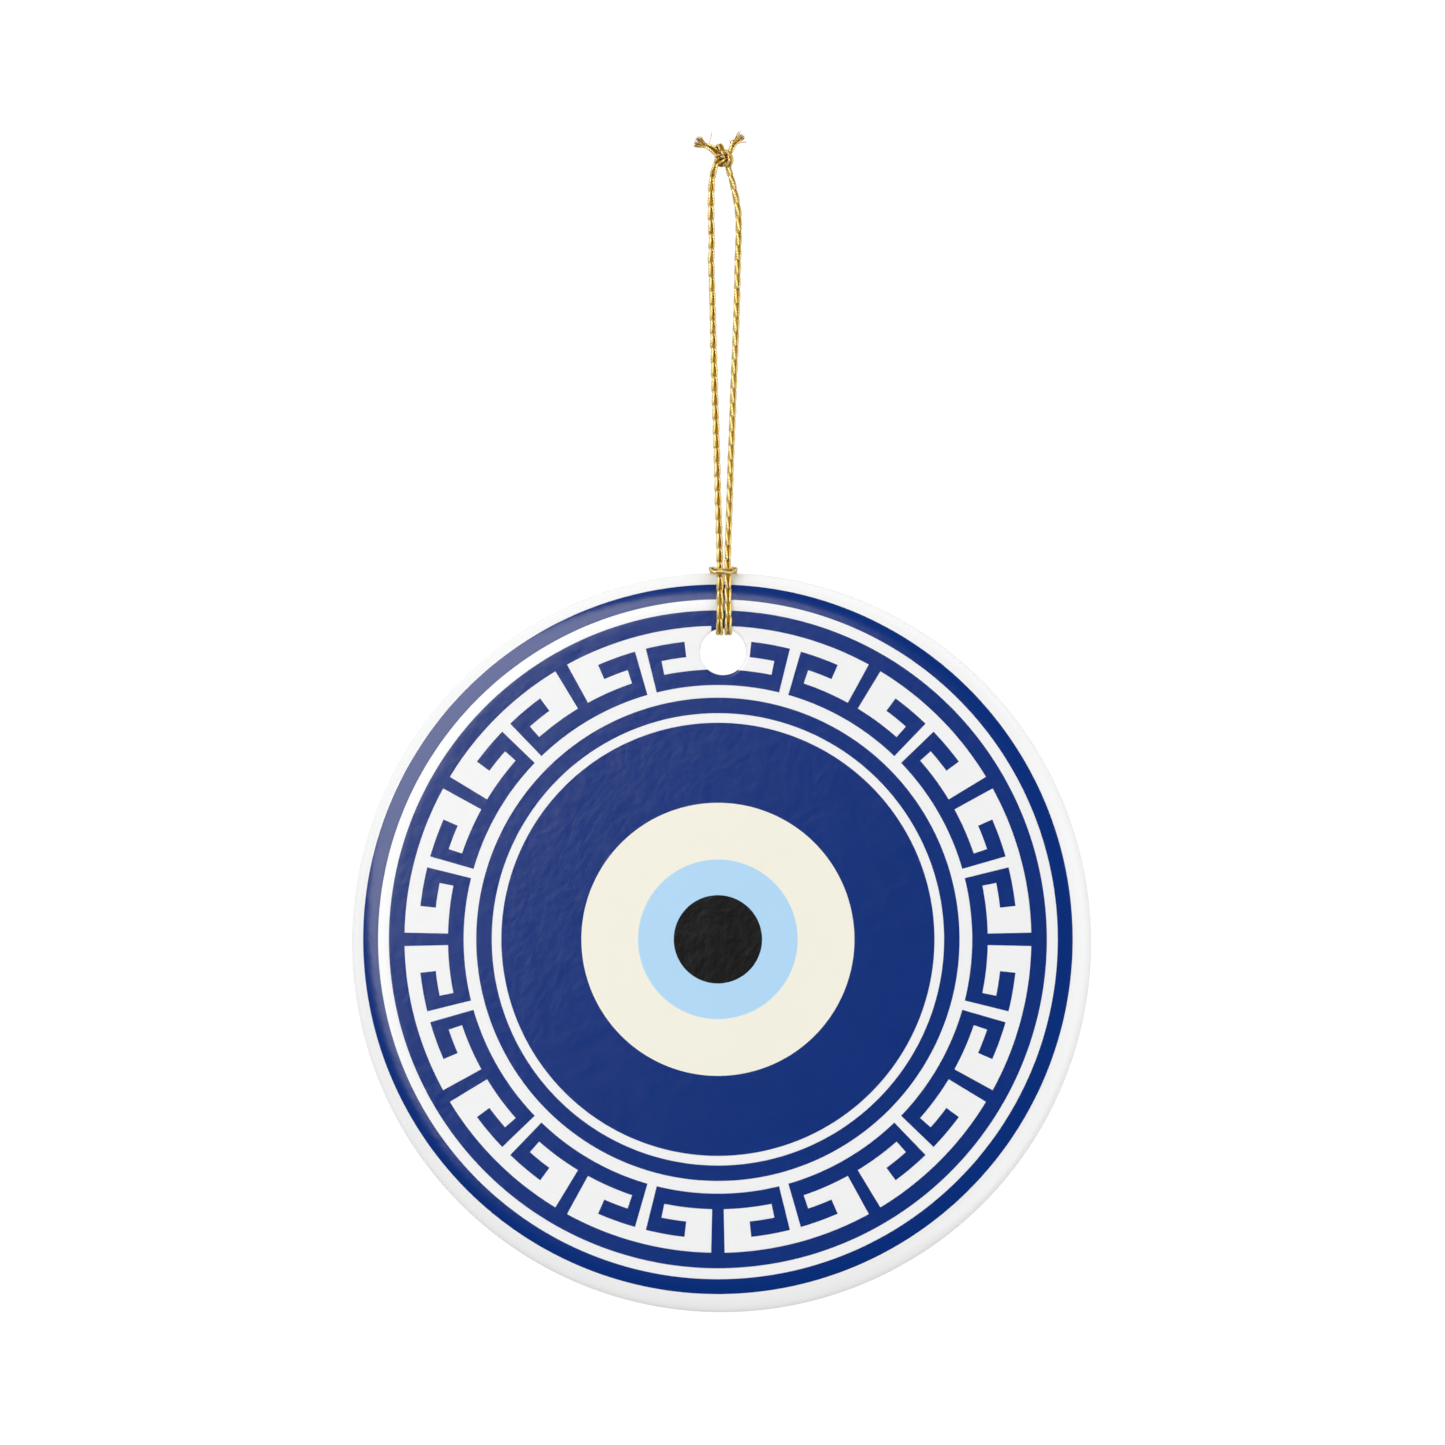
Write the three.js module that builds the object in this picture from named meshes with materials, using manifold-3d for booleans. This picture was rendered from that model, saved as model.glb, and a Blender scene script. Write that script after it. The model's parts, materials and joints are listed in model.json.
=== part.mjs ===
// Evil eye ornament: a round glazed ceramic disc hung on a thin metallic cord.
// The cord is doubled through the hole with a cow hitch, rises as two strands
// and is tied in a knot with two short frayed tails.
//
// Units are millimetres, +Z up, the decorated face looks along -Y and +X is to
// the viewer's right. The origin is the hang point: the inside of the loop,
// just under the knot, where a nail or a hook carries the ornament.
//
// The cord is one physical length. It is cut here into short stretches, each a
// plain closed tube, at the places where it bends while the ornament moves.

import * as THREE from 'three';
import { mergeVertices } from 'three/addons/utils/BufferGeometryUtils.js';
import Module from 'manifold-3d';

const wasm = await Module();
wasm.setup();

// ---------------------------------------------------------------- dimensions
const DISC_R = 35.0;             // disc radius (70 mm across)
const DISC_T = 3.0;              // disc thickness
const DISC_X = -0.13;            // disc centre sits a hair left of the cord line
const DISC_Z = -73.42;           // disc centre below the hang point
const FACE_Y = 0.5;              // plane of the decorated face
const FRONT_FLAT_R = 31.0;       // the decorated face is flat out to here
const BACK_FLAT_R = 29.4;        // the back is flat out to here
const RIM_EXPONENT = 2.6;        // fullness of the rounded rim
const DISC_SEGMENTS = 80;

const BACK_HOLLOW = 0.03;        // the pressed back is this much hollow in the middle
const BACK_HOLLOW_R = 26.5;      // and flat again inside this radius
const HOLE_R = 2.18;             // hanging hole, 4.36 mm across at its narrowest
const HOLE_X = 0.0;
const HOLE_Z = -45.88;
const HOLE_EDGE = 0.28;          // rounding of the hole's edges
const HOLE_SEGMENTS = 32;

const CORD_R = 0.31;             // cord radius (0.62 mm across)
const CORD_SIDES = 8;
const GAP = 0.2;                 // clearance between the cord and what it touches
const CUT = 0.3;                 // gap where the cord is cut into stretches

const LEFT_X = -0.33;            // the two strands on the disc
const RIGHT_X = 0.46;
const CROWN_END_Z = -2.5;        // crown of the loop ends, strands begin
const STRAND_END_Z = -33.7;      // strands end, feet begin
const FOOT_END_Z = -37.0;        // feet end above the hitch
const HITCH_Z = -38.3;           // level of the hitch band and of the tilt axis
const BAND_Y = -(2 * CORD_R + GAP);   // band lies in front of the strands
const OVER_Y = FACE_Y - CORD_R - GAP; // cord in front of the face
const BACK_Y = FACE_Y + DISC_T + CORD_R + GAP; // cord behind the back

// ---------------------------------------------------------------- materials
const ceramic = () => new THREE.MeshStandardMaterial({ color: 0xf2f2ef, roughness: 0.28, metalness: 0.0 });
const gold = () => new THREE.MeshStandardMaterial({ color: 0xb98f45, roughness: 0.42, metalness: 0.6 });

// ------------------------------------------------------------------- helpers
const v = (x, y, z) => new THREE.Vector3(x, y, z);

// Position-only geometry with shared vertices and no collapsed triangles.
function clean(geometry) {
  const g = geometry.clone();
  g.deleteAttribute('normal');
  g.deleteAttribute('uv');
  const merged = mergeVertices(g, 1e-5);
  const index = merged.getIndex().array;
  const kept = [];
  for (let i = 0; i < index.length; i += 3) {
    const [a, b, c] = [index[i], index[i + 1], index[i + 2]];
    if (a !== b && b !== c && a !== c) kept.push(a, b, c);
  }
  merged.setIndex(kept);
  return outward(merged);
}

// Turns the triangles round if the closed mesh is inside out.
function outward(g) {
  const p = g.getAttribute('position');
  const index = Array.from(g.getIndex().array);
  let volume = 0;
  const [a, b, c] = [v(), v(), v()];
  for (let i = 0; i < index.length; i += 3) {
    a.fromBufferAttribute(p, index[i]);
    b.fromBufferAttribute(p, index[i + 1]);
    c.fromBufferAttribute(p, index[i + 2]);
    volume += a.dot(b.cross(c));
  }
  if (volume < 0) {
    for (let i = 0; i < index.length; i += 3) [index[i + 1], index[i + 2]] = [index[i + 2], index[i + 1]];
    g.setIndex(index);
  }
  return g;
}

function toSolid(geometry) {
  const g = clean(geometry);
  return new wasm.Manifold(new wasm.Mesh({
    numProp: 3,
    vertProperties: new Float32Array(g.getAttribute('position').array),
    triVerts: new Uint32Array(g.getIndex().array),
  }));
}

function fromSolid(solid) {
  const mesh = solid.getMesh();
  const g = new THREE.BufferGeometry();
  g.setAttribute('position', new THREE.BufferAttribute(new Float32Array(mesh.vertProperties), 3));
  g.setIndex(Array.from(mesh.triVerts));
  g.computeVertexNormals();
  return g;
}

// A plain round tube through the points, closed at both ends.
function tube(points, steps, radius = CORD_R) {
  const section = new THREE.Shape();
  for (let i = 0; i < CORD_SIDES; i++) {
    const a = (2 * Math.PI * (i + 0.5)) / CORD_SIDES;
    const [x, y] = [radius * Math.cos(a), radius * Math.sin(a)];
    if (i === 0) section.moveTo(x, y); else section.lineTo(x, y);
  }
  section.closePath();
  const path = points.length === 2
    ? new THREE.LineCurve3(points[0], points[1])
    : new THREE.CatmullRomCurve3(points, false, 'centripetal');
  return clean(new THREE.ExtrudeGeometry(section, { steps, bevelEnabled: false, extrudePath: path }));
}

const group = new THREE.Group();
function add(name, geometry, material) {
  const mesh = new THREE.Mesh(geometry, material);
  mesh.name = name;
  group.add(mesh);
  return mesh;
}

// ---------------------------------------------------------------------- disc
// Half of a rim whose thickness falls away as a superellipse from flatR to the edge.
function rim(flatR, half, count) {
  const out = [];
  for (let i = 0; i <= count; i++) {
    const a = (Math.PI / 2) * (i / count);
    const t = Math.pow(Math.sin(a), 2 / RIM_EXPONENT);
    const h = Math.pow(Math.cos(a), 2 / RIM_EXPONENT);
    out.push([flatR + (DISC_R - flatR) * t, half * h]);
  }
  out[count] = [DISC_R, 0];
  return out;
}

{
  const middle = FACE_Y + DISC_T / 2;
  const half = DISC_T / 2;
  const front = rim(FRONT_FLAT_R, half, 6).map(([r, h]) => new THREE.Vector2(r, middle - h));
  const back = rim(BACK_FLAT_R, half, 6).map(([r, h]) => new THREE.Vector2(r, middle + h)).reverse().slice(1);
  const bottom = FACE_Y + DISC_T - BACK_HOLLOW;
  const hollow = [new THREE.Vector2(BACK_HOLLOW_R, bottom), new THREE.Vector2(0, bottom)];
  const profile = [new THREE.Vector2(0, FACE_Y), ...front, ...back, ...hollow];
  const blank = new THREE.LatheGeometry(profile, DISC_SEGMENTS);
  blank.translate(DISC_X, 0, DISC_Z);

  const [y0, y1, e] = [FACE_Y, FACE_Y + DISC_T, HOLE_EDGE];
  const k = e * (1 - Math.SQRT1_2);
  const drill = new THREE.LatheGeometry([
    [0, y0 - 1], [HOLE_R + e, y0 - 1], [HOLE_R + e, y0], [HOLE_R + k, y0 + k], [HOLE_R, y0 + e],
    [HOLE_R, y1 - e], [HOLE_R + k, y1 - k], [HOLE_R + e, y1], [HOLE_R + e, y1 + 1], [0, y1 + 1],
  ].map(([r, y]) => new THREE.Vector2(r, y)), HOLE_SEGMENTS);
  drill.translate(HOLE_X, 0, HOLE_Z);

  add('ornament_disc', fromSolid(toSolid(blank).subtract(toSolid(drill))), ceramic());
}

// ---------------------------------------------------------------------- knot
// The outer shape of the two half knots above the loop.
{
  const knot = new THREE.SphereGeometry(1, 14, 9);
  knot.scale(0.92, 0.78, 0.92);
  const mesh = add('cord_knot', clean(knot), gold());
  mesh.position.set(0.1, 0, 1.12);
}
add('cord_tail_left', tube([v(-1.02, 0, 1.5), v(-1.75, 0, 1.95), v(-2.45, 0, 2.35)], 3), gold());
add('cord_tail_right', tube([v(0.82, 0, 2.25), v(1.25, 0, 2.6), v(1.85, 0, 3.05)], 3), gold());

// ------------------------------------------------------ loop, from knot down
add('cord_crown_left', tube([v(-0.62, 0, -0.35), v(-1.0, 0, -1.4), v(-1.13, 0, CROWN_END_Z)], 3), gold());
add('cord_crown_right', tube([v(0.72, 0, -0.35), v(1.16, 0, -1.4), v(1.38, 0, CROWN_END_Z)], 3), gold());

add('cord_strand_left', tube([
  v(-1.14, 0, CROWN_END_Z - CUT), v(-1.14, 0, -8.0), v(-1.0, 0, -13.5), v(-0.78, 0, -21.5), v(-0.56, 0, -29.0), v(-0.43, 0, STRAND_END_Z),
], 15), gold());
add('cord_strand_right', tube([
  v(1.42, 0, CROWN_END_Z - CUT), v(1.46, 0, -6.5), v(1.29, 0, -13.5), v(0.98, 0, -21.5), v(0.68, 0, -29.0), v(0.53, 0, STRAND_END_Z),
], 15), gold());

add('cord_foot_left', tube([v(-0.42, 0, STRAND_END_Z - CUT), v(-0.36, 0, FOOT_END_Z)], 2), gold());
add('cord_foot_right', tube([v(0.52, 0, STRAND_END_Z - CUT), v(0.47, 0, FOOT_END_Z)], 2), gold());

// ----------------------------------------------------------------- cow hitch
// Each leg comes down the face, goes through the hole and climbs the back.
function leg(x) {
  const inHole = HOLE_Z + HOLE_R - CORD_R - GAP;
  return [
    v(x, OVER_Y, -37.95), v(x, OVER_Y, -42.9), v(x, OVER_Y + 0.28, -43.75), v(x, FACE_Y + 0.55, inHole),
    v(x, FACE_Y + DISC_T - 0.55, inHole), v(x, BACK_Y - 0.28, -43.75), v(x, BACK_Y, -42.9), v(x, BACK_Y, -40.6),
  ];
}
add('cord_leg_left', tube(leg(LEFT_X), 14), gold());
add('cord_leg_right', tube(leg(RIGHT_X), 14), gold());

// The bight comes over the top edge and crosses in front of both strands.
add('cord_hitch_band', tube([
  v(-0.62, BACK_Y, -40.1), v(-0.98, BACK_Y, -39.2), v(-1.2, BACK_Y - 0.7, -38.0), v(-1.25, 2.0, -37.82), v(-1.22, 0.45, -37.95),
  v(-1.02, -0.5, -38.2), v(-0.45, BAND_Y, HITCH_Z), v(0.58, BAND_Y, HITCH_Z), v(1.15, -0.5, -38.2),
  v(1.35, 0.45, -37.95), v(1.38, 2.0, -37.82), v(1.33, BACK_Y - 0.7, -38.0), v(1.11, BACK_Y, -39.2), v(0.75, BACK_Y, -40.1),
], 20), gold());

export default group;
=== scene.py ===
# Evil eye ornament: looks of the glazed ceramic disc, its printed face and the
# knitted metallic cord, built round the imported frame. Lengths below are in
# millimetres and turn into metres when a mesh is made.
import json
import math

import bpy
import bmesh
import numpy as np
from mathutils import Matrix, Vector
from mathutils.kdtree import KDTree
from mathutils.geometry import delaunay_2d_cdt

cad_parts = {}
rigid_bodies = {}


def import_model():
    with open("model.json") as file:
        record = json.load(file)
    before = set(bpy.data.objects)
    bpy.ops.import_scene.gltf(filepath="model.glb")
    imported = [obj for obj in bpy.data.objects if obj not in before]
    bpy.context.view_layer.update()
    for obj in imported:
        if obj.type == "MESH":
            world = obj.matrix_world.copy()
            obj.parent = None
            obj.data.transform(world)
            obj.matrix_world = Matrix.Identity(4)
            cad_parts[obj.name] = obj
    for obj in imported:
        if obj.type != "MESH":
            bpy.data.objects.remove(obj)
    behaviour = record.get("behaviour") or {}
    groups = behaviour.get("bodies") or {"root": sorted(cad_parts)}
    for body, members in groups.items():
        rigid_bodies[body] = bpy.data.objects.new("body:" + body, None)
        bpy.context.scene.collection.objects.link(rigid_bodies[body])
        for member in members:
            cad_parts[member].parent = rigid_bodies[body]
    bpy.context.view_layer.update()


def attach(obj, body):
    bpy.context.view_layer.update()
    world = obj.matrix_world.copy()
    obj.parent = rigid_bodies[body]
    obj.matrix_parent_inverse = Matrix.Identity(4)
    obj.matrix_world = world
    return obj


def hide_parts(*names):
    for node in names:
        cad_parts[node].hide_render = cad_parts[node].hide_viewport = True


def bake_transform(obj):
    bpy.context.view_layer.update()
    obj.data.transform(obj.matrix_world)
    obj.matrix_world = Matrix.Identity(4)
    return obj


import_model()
MM = 0.001
scene = bpy.context.scene

# ------------------------------------------------------------ driving dimensions
DISC_X, DISC_Z, DISC_R = -0.13, -73.42, 35.0
FACE_Y, DISC_T = 0.5, 3.0
MID_Y, HALF = FACE_Y + DISC_T / 2, DISC_T / 2
FRONT_FLAT, BACK_FLAT, RIM_N = 31.0, 29.4, 2.6
HOLLOW, HOLLOW_R = 0.03, 26.5
HOLE_X, HOLE_Z, HOLE_R, HOLE_E = 0.0, -45.88, 2.18, 0.28
PRINT_X, PRINT_Z = -0.482, -73.07        # the print sits a hair off the disc's centre
INK_UP, INK_DOWN = 0.012, 0.005          # fired ink stands this proud, and starts this deep
HITCH_Z = -38.3
PITCH = 1.35                             # one knitted stitch of the cord

# ------------------------------------------------------------ camera
cam = bpy.data.cameras.new("camera")
cam.sensor_width, cam.lens = 36.0, 36.0 * 800.0 / 136.62
cam.clip_start, cam.clip_end = 0.01, 20.0
camera = bpy.data.objects.new("camera", cam)
scene.collection.objects.link(camera)
camera.location = (-0.047 * MM, (FACE_Y - 800.0) * MM, -52.57 * MM)
camera.rotation_euler = (math.pi / 2, 0, 0)
scene.camera = camera


# ------------------------------------------------------------ mesh helpers
def mesh_object(name, verts, faces, normals=None, smooth=True):
    """A mesh from points in mm. normals is one per face corner, in face order."""
    me = bpy.data.meshes.new(name)
    me.from_pydata((np.asarray(verts, float) * MM).tolist(), [], [list(map(int, f)) for f in faces])
    me.validate(clean_customdata=False)
    me.polygons.foreach_set("use_smooth", [smooth] * len(me.polygons))
    me.update()
    if normals is not None:
        me.normals_split_custom_set([tuple(n) for n in normals])
    ob = bpy.data.objects.new(name, me)
    scene.collection.objects.link(ob)
    return ob


def unit(a):
    return a / np.maximum(np.linalg.norm(a, axis=-1, keepdims=True), 1e-12)


def spline(points, n=20):
    """A centripetal Catmull-Rom curve through the points."""
    p = np.asarray(points, float)
    q = np.vstack([2 * p[0] - p[1], p, 2 * p[-1] - p[-2]])
    out = []
    for i in range(1, len(q) - 2):
        p0, p1, p2, p3 = q[i - 1:i + 3]
        t1 = np.linalg.norm(p1 - p0) ** 0.5
        t2 = t1 + np.linalg.norm(p2 - p1) ** 0.5
        t3 = t2 + np.linalg.norm(p3 - p2) ** 0.5
        t = np.linspace(t1, t2, n, endpoint=False)[:, None]
        a1 = (t1 - t) / t1 * p0 + t / t1 * p1
        a2 = (t2 - t) / (t2 - t1) * p1 + (t - t1) / (t2 - t1) * p2
        a3 = (t3 - t) / (t3 - t2) * p2 + (t - t2) / (t3 - t2) * p3
        b1 = (t2 - t) / t2 * a1 + t / t2 * a2
        b2 = (t3 - t) / (t3 - t1) * a2 + (t - t1) / (t3 - t1) * a3
        out.append((t2 - t) / (t2 - t1) * b1 + (t - t1) / (t2 - t1) * b2)
    out.append(p[-1:])
    return np.vstack(out)


def arclength(c):
    return np.concatenate([[0], np.cumsum(np.linalg.norm(np.diff(c, axis=0), axis=1))])


def resample(c, step):
    s = arclength(c)
    t = np.linspace(0, s[-1], max(2, int(round(s[-1] / step))) + 1)
    return np.stack([np.interp(t, s, c[:, k]) for k in range(c.shape[1])], 1)


def smoothed(c, rounds):
    for _ in range(rounds):
        d = c.copy()
        d[1:-1] = (c[:-2] + 2 * c[1:-1] + c[2:]) / 4
        c = d
    return c


def transport(c, first):
    """Unit tangents and a side vector carried along the curve without twist."""
    t = unit(np.gradient(c, axis=0))
    n = np.zeros_like(c)
    v = np.asarray(first, float)
    v = unit(v - t[0] * (v @ t[0]))
    for i in range(len(c)):
        v = v - t[i] * (v @ t[i])
        v = v / max(np.linalg.norm(v), 1e-12)
        n[i] = v
    return t, n


# ------------------------------------------------------------ the cord's route
# Left tail, knot, left strand, down the face, through the hole, up the back,
# over the top edge, across the front, and the same way back on the right.
KNOT_LEFT = [
    (-0.92, -0.03, -0.67), (-0.87, -0.05, -0.52), (-0.83, -0.07, -0.37), (-0.78, -0.09, -0.22), (-0.74, -0.11, -0.07), (-0.69, -0.12, 0.09),
    (-0.64, -0.13, 0.24), (-0.57, -0.12, 0.38), (-0.47, -0.08, 0.49), (-0.35, -0.02, 0.57), (-0.23, 0.07, 0.59), (-0.11, 0.16, 0.56),
    (-0.00, 0.23, 0.47), (0.10, 0.25, 0.36), (0.19, 0.22, 0.24), (0.28, 0.12, 0.15), (0.36, 0.00, 0.10), (0.44, -0.13, 0.12),
    (0.53, -0.23, 0.18), (0.61, -0.32, 0.29), (0.67, -0.37, 0.43), (0.70, -0.39, 0.58), (0.68, -0.39, 0.73), (0.61, -0.39, 0.87),
    (0.54, -0.38, 1.00), (0.47, -0.36, 1.12), (0.39, -0.31, 1.23), (0.31, -0.22, 1.32), (0.22, -0.10, 1.37), (0.12, 0.00, 1.37),
    (0.02, 0.07, 1.33), (-0.08, 0.08, 1.28), (-0.21, 0.05, 1.20), (-0.35, -0.01, 1.18), (-0.50, -0.06, 1.22), (-0.64, -0.07, 1.30),
    (-0.77, -0.07, 1.39), (-0.90, -0.07, 1.48), (-1.04, -0.06, 1.57), (-1.17, -0.05, 1.66), (-1.31, -0.04, 1.74), (-1.44, -0.02, 1.82),
    (-1.58, -0.01, 1.90), (-1.72, 0.00, 1.98),
]
KNOT_RIGHT = [
    (0.68, 0.04, -0.75), (0.60, 0.08, -0.50), (0.54, 0.12, -0.28), (0.52, 0.17, -0.12), (0.54, 0.20, 0.04),
    (0.58, 0.21, 0.19), (0.60, 0.18, 0.34), (0.56, 0.12, 0.45), (0.48, 0.05, 0.53), (0.38, -0.04, 0.56), (0.26, -0.13, 0.53),
    (0.14, -0.20, 0.45), (0.03, -0.20, 0.34), (-0.07, -0.15, 0.24), (-0.16, -0.05, 0.16), (-0.25, 0.07, 0.13), (-0.33, 0.20, 0.17),
    (-0.41, 0.30, 0.26), (-0.48, 0.37, 0.38), (-0.51, 0.41, 0.53), (-0.52, 0.42, 0.68), (-0.52, 0.42, 0.84), (-0.52, 0.42, 1.00),
    (-0.52, 0.41, 1.18), (-0.52, 0.38, 1.38), (-0.50, 0.32, 1.60), (-0.46, 0.23, 1.79), (-0.40, 0.10, 1.90), (-0.32, -0.04, 1.93),
    (-0.25, -0.18, 1.86), (-0.18, -0.29, 1.70), (-0.11, -0.36, 1.50), (-0.05, -0.38, 1.30), (0.02, -0.35, 1.12), (0.10, -0.27, 0.99),
    (0.19, -0.15, 0.92), (0.29, -0.01, 0.93), (0.39, 0.09, 1.01), (0.48, 0.15, 1.13), (0.57, 0.17, 1.28), (0.65, 0.16, 1.45),
    (0.74, 0.15, 1.63), (0.80, 0.13, 1.77), (0.87, 0.10, 1.91), (0.94, 0.08, 2.05), (1.01, 0.05, 2.19), (1.08, 0.02, 2.33),
]
STRAND_LEFT = [
    (-1.03, 0, -1.35), (-1.10, 0, -2.5), (-1.144, 0, -3.78), (-1.144, 0, -5.1), (-1.097, 0, -7.28), (-1.144, 0, -8.89), (-1.078, 0, -10.87),
    (-1.03, 0, -12.8), (-0.927, 0, -16.64), (-0.813, 0, -20.5), (-0.709, 0, -24.0), (-0.596, 0, -27.9), (-0.49, 0, -31.8), (-0.369, 0.01, -35.6),
    (-0.34, 0.03, -37.2), (-0.325, 0.07, -38.3), (-0.305, 0.12, -39.4), (-0.293, 0.165, -40.6), (-0.28, 0.185, -41.8), (-0.28, 0.185, -42.7),
]
STRAND_RIGHT = [
    (0.85, 0, -1.3), (1.078, 0, -2.3), (1.314, 0, -3.5), (1.465, 0, -4.9), (1.478, 0, -6.3), (1.447, 0, -7.2), (1.39, 0, -8.9),
    (1.295, 0, -12.8), (1.172, 0, -16.6), (1.002, 0, -20.5), (0.879, 0, -24.0), (0.728, 0, -27.9), (0.596, 0, -31.8), (0.463, 0.01, -35.6),
    (0.425, 0.03, -37.2), (0.435, 0.07, -38.3), (0.452, 0.12, -39.4), (0.47, 0.165, -40.6), (0.51, 0.185, -41.8), (0.53, 0.185, -42.7),
]


def rim_at(a, flat, off):
    """(rho, height over the middle plane) on the rounded rim at parameter a, pushed out by off."""
    t, h = math.sin(a) ** (2 / RIM_N), math.cos(a) ** (2 / RIM_N)
    nr, nh = t ** (RIM_N - 1) / (DISC_R - flat), h ** (RIM_N - 1) / HALF
    k = math.hypot(nr, nh)
    return flat + (DISC_R - flat) * t + off * nr / k, HALF * h + off * nh / k


def over_edge(x, a, back, off=0.33):
    rho, h = rim_at(a, BACK_FLAT if back else FRONT_FLAT, off)
    return (x, MID_Y + h * (1 if back else -1), DISC_Z + math.sqrt(rho ** 2 - (x - DISC_X) ** 2))


def through_hole(x):
    return [(x, 0.21, -43.15), (x, 0.36, -43.56), (x, 0.66, -43.88), (x, 1.1, -44.03), (x, 2.0, -44.05),
            (x, 2.9, -44.03), (x, 3.36, -43.88), (x, 3.66, -43.56), (x, 3.81, -43.15), (x, 3.82, -42.6)]


def up_the_back(x0, x1):
    """From the hole, up the back and over the top edge."""
    at = lambda k: x0 + (x1 - x0) * k
    return [over_edge(at(0.10), 0.42, True), over_edge(at(0.32), 0.62, True), over_edge(at(0.60), 0.86, True),
            over_edge(at(0.84), 1.12, True), over_edge(at(0.96), 1.36, True), over_edge(x1, math.pi / 2, True)]


BAND = [(-1.02, 1.15, -38.06), (-1.01, 0.45, -38.11), (-0.94, -0.10, -38.19), (-0.72, -0.42, -38.25), (-0.38, -0.54, -38.29),
        (0.05, -0.56, -38.30), (0.48, -0.54, -38.30), (0.80, -0.42, -38.28), (0.99, -0.10, -38.24), (1.06, 0.45, -38.15), (1.07, 1.15, -38.08)]

route = (
    KNOT_LEFT[::-1] + STRAND_LEFT + through_hole(-0.33) + up_the_back(-0.33, -1.0) + BAND
    + up_the_back(0.50, 1.05)[::-1] + through_hole(0.50)[::-1] + STRAND_RIGHT[::-1] + KNOT_RIGHT
)
CORE = smoothed(resample(spline(route), 0.05), 8)
CORE = resample(CORE, 0.05)
CORE_S = arclength(CORE)
CORD_LENGTH = CORE_S[-1]


def station(x, y, z, near=None):
    """How far along the cord the nearest point of its centreline is."""
    d = np.linalg.norm(CORE - np.array([x, y, z]), axis=1)
    if near is not None:
        d = np.where((CORE_S >= near[0]) & (CORE_S <= near[1]), d, 1e9)
    return CORE_S[int(d.argmin())]


# The knitted face turns slowly round the cord. Each row: where, and which way the face looks.
S_LEFT = station(-1.144, 0, -5.1)
S_BAND = station(0.05, -0.56, -38.30)
facing = [
    (0.0, (0.2, -1, 0.3)),
    (station(-0.35, -0.01, 1.2), (0.2, -1, 0.2)),
    (station(-0.74, -0.11, -0.07), (-0.35, -1, 0)),
    (S_LEFT, (0.45, -1, 0)),
    (station(-1.03, 0, -12.8), (0.70, -1, 0)),
    (station(-0.813, 0, -20.5), (0.35, -1, 0)),
    (station(-0.596, 0, -27.9), (0.60, -1, 0)),
    (station(-0.34, 0.03, -37.2), (0.40, -1, 0)),
    (station(-0.28, 0.185, -42.0), (-0.1, -1, 0)),
    (station(-0.33, 2.0, -44.05), (0, 0, -1)),
    (station(-0.42, 3.8, -42.0), (0, 1, 0)),
    (station(-1.0, 2.0, -38.1), (0, 0.1, 1)),
    (S_BAND, (0, -1, 1.1)),
    (station(1.05, 2.0, -38.1), (0, 0.1, 1)),
    (station(0.6, 3.8, -42.0), (0, 1, 0)),
    (station(0.50, 2.0, -44.05), (0, 0, -1)),
    (station(0.50, 0.185, -42.0), (-0.1, -1, 0)),
    (station(0.425, 0.03, -37.2), (0.55, -1, 0)),
    (station(0.66, 0, -29.8), (0.9, -1, 0)),
    (station(1.002, 0, -20.5), (1.1, -1, 0)),
    (station(1.295, 0, -12.8), (0.8, -1, 0)),
    (station(1.478, 0, -6.3), (1.1, -1, 0)),
    (station(0.68, 0.04, -0.75), (1, -0.6, 0)),
    (station(0.38, -0.04, 0.56, (CORD_LENGTH - 14, CORD_LENGTH)), (0.3, -1, 0.2)),
    (CORD_LENGTH, (0.4, -1, 0)),
]
CORE_T, side0 = transport(CORE, facing[0][1])
side1 = np.cross(CORE_T, side0)
turn, last = [], None
for s, want in facing:
    i = int(np.searchsorted(CORE_S, s - 1e-9))
    i = min(i, len(CORE) - 1)
    w = np.array(want, float)
    w = unit(w - CORE_T[i] * (w @ CORE_T[i]))
    a = math.atan2(w @ side1[i], w @ side0[i])
    if last is not None:
        a += 2 * math.pi * round((last - a) / (2 * math.pi))
    turn.append((s, a))
    last = a
order = sorted(turn)
roll = np.interp(CORE_S, [t[0] for t in order], [t[1] for t in order])
kernel = np.hanning(61) / np.hanning(61).sum()
roll = np.convolve(np.pad(roll, 30, mode="edge"), kernel, mode="valid")
CORE_V = side0 * np.cos(roll)[:, None] + side1 * np.sin(roll)[:, None]
CORE_U = np.cross(CORE_V, CORE_T)

# The cord is squeezed where the knot and the hitch pull it tight.
S_IN = station(-0.74, -0.11, -0.07)
S_OUT = station(0.52, 0.17, -0.12, (CORD_LENGTH - 16, CORD_LENGTH))
width_at = [
    (0, 1.35), (1.6, 1.15), (2.6, 0.90), (S_IN - 1.0, 0.90), (S_IN + 2.5, 1.10),
    (S_BAND - 6, 1.14), (S_BAND - 2, 0.98), (S_BAND + 2, 0.98), (S_BAND + 6, 1.14),
    (S_OUT - 2.5, 1.10), (S_OUT + 1.0, 0.90), (CORD_LENGTH - 2.4, 0.90), (CORD_LENGTH, 1.12),
]


def on_core(s, u, v):
    """Points at distance s along the cord, u across it and v towards its knitted face."""
    k = np.interp(s, [w[0] for w in width_at], [w[1] for w in width_at])
    at = lambda a: np.stack([np.interp(s, CORE_S, a[:, j]) for j in range(3)], 1)
    return at(CORE) + at(CORE_U) * (u * k)[:, None] + at(CORE_V) * (v * k)[:, None]


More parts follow.
